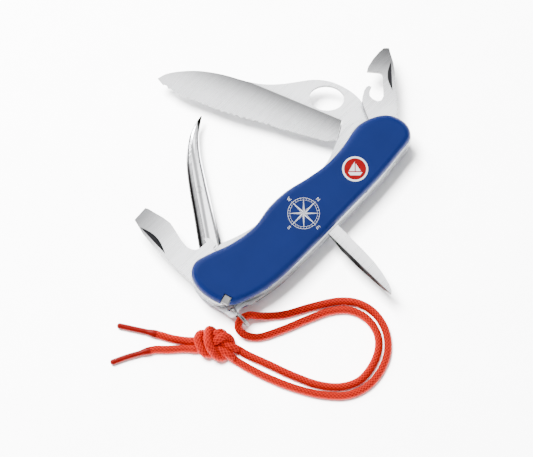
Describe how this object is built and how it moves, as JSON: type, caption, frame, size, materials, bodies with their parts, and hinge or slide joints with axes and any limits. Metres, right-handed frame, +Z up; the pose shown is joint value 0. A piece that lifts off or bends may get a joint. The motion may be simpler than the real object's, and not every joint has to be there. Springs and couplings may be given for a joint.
{
  "type": "rigging knife",
  "caption": "Folding rigging knife with a part-serrated lock blade with a thumb hole, openers, marlinspike, reamer and a doubled cord lanyard on a split ring.",
  "frame": {"origin": "centre of the rear scale's flat outer face, on which the knife lies", "axes": "+X along the back towards the main blade's pivot, +Y to the side the blade folds out of, +Z up through the layers to the front scale"},
  "size_m": [0.1779, 0.1568, 0.0195],
  "materials": {
    "blue_nylon": "satin moulded nylon with a fine grain",
    "liner_steel": "fine brushed",
    "spring_steel": "ground edges",
    "satin_steel": "satin ground with a fine grain",
    "polished_steel": "polished",
    "ring_steel": "bright plated wire",
    "rivet_brass": "turned",
    "grey_plastic": "moulded",
    "ivory_plastic": "moulded",
    "orange_cord": "braided polyester",
    "red_sleeve": "shrunk tube"
  },
  "bodies": {
    "handle": {"front_scale": "blue_nylon", "rear_scale": "blue_nylon", "front_liner": "liner_steel", "opener_lock_liner": "liner_steel", "blade_lock_liner": "liner_steel", "rear_liner": "liner_steel", "opener_spring": "spring_steel", "blade_spring": "spring_steel", "spike_spring": "spring_steel", "end_spacer": "spring_steel", "blade_end_rivet": "rivet_brass", "opener_end_rivet": "rivet_brass", "long_spring_pin": "spring_steel", "short_spring_pin": "spring_steel", "reamer_pin": "spring_steel"},
    "main_blade": {"main_blade": "satin_steel"},
    "can_opener": {"can_opener": "satin_steel"},
    "bottle_opener": {"bottle_opener": "satin_steel"},
    "marlinspike": {"marlinspike": "polished_steel"},
    "reamer": {"reamer": "satin_steel"},
    "tweezers": {"tweezers": "satin_steel", "tweezers_grip": "grey_plastic"},
    "toothpick": {"toothpick": "ivory_plastic"},
    "lanyard": {"split_ring": "ring_steel", "cord_strand_a": "orange_cord", "cord_strand_b": "orange_cord", "cord_knot": "orange_cord", "cord_tail_a": "orange_cord", "cord_tail_b": "orange_cord", "sleeve_a": "red_sleeve", "sleeve_b": "red_sleeve"}
  },
  "joints": [
    {"name": "main_blade_hinge", "type": "hinge", "parent": "handle", "child": "main_blade", "pos_m": [0.047, -0.003, 0.0107], "axis": [0, 0, 1], "range_deg": [-120, 61.5]},
    {"name": "can_opener_hinge", "type": "hinge", "parent": "handle", "child": "can_opener", "pos_m": [0.047, -0.003, 0.014], "axis": [0, 0, 1], "range_deg": [-45, 123]},
    {"name": "bottle_opener_hinge", "type": "hinge", "parent": "handle", "child": "bottle_opener", "pos_m": [-0.0452, 0.0044, 0.014], "axis": [0, 0, 1], "range_deg": [-100.5, 82.5]},
    {"name": "marlinspike_hinge", "type": "hinge", "parent": "handle", "child": "marlinspike", "pos_m": [-0.0452, 0.0044, 0.00635], "axis": [0, 0, 1], "range_deg": [-60.5, 127.5]},
    {"name": "reamer_hinge", "type": "hinge", "parent": "handle", "child": "reamer", "pos_m": [0.0026, -0.0096, 0.014], "axis": [0, 0, 1], "range_deg": [-85, 0]},
    {"name": "tweezers_slide", "type": "slide", "parent": "handle", "child": "tweezers", "axis": [-0.9613, -0.2756, 0], "range_m": [0, 0.045]},
    {"name": "toothpick_slide", "type": "slide", "parent": "handle", "child": "toothpick", "axis": [-0.9205, 0.3907, 0], "range_m": [0, 0.044]},
    {"name": "lanyard_swing", "type": "hinge", "parent": "handle", "child": "lanyard", "pos_m": [-0.0501, -0.008, 0.00905], "axis": [0, 0, 1], "range_deg": [-45, 5]}
  ]
}
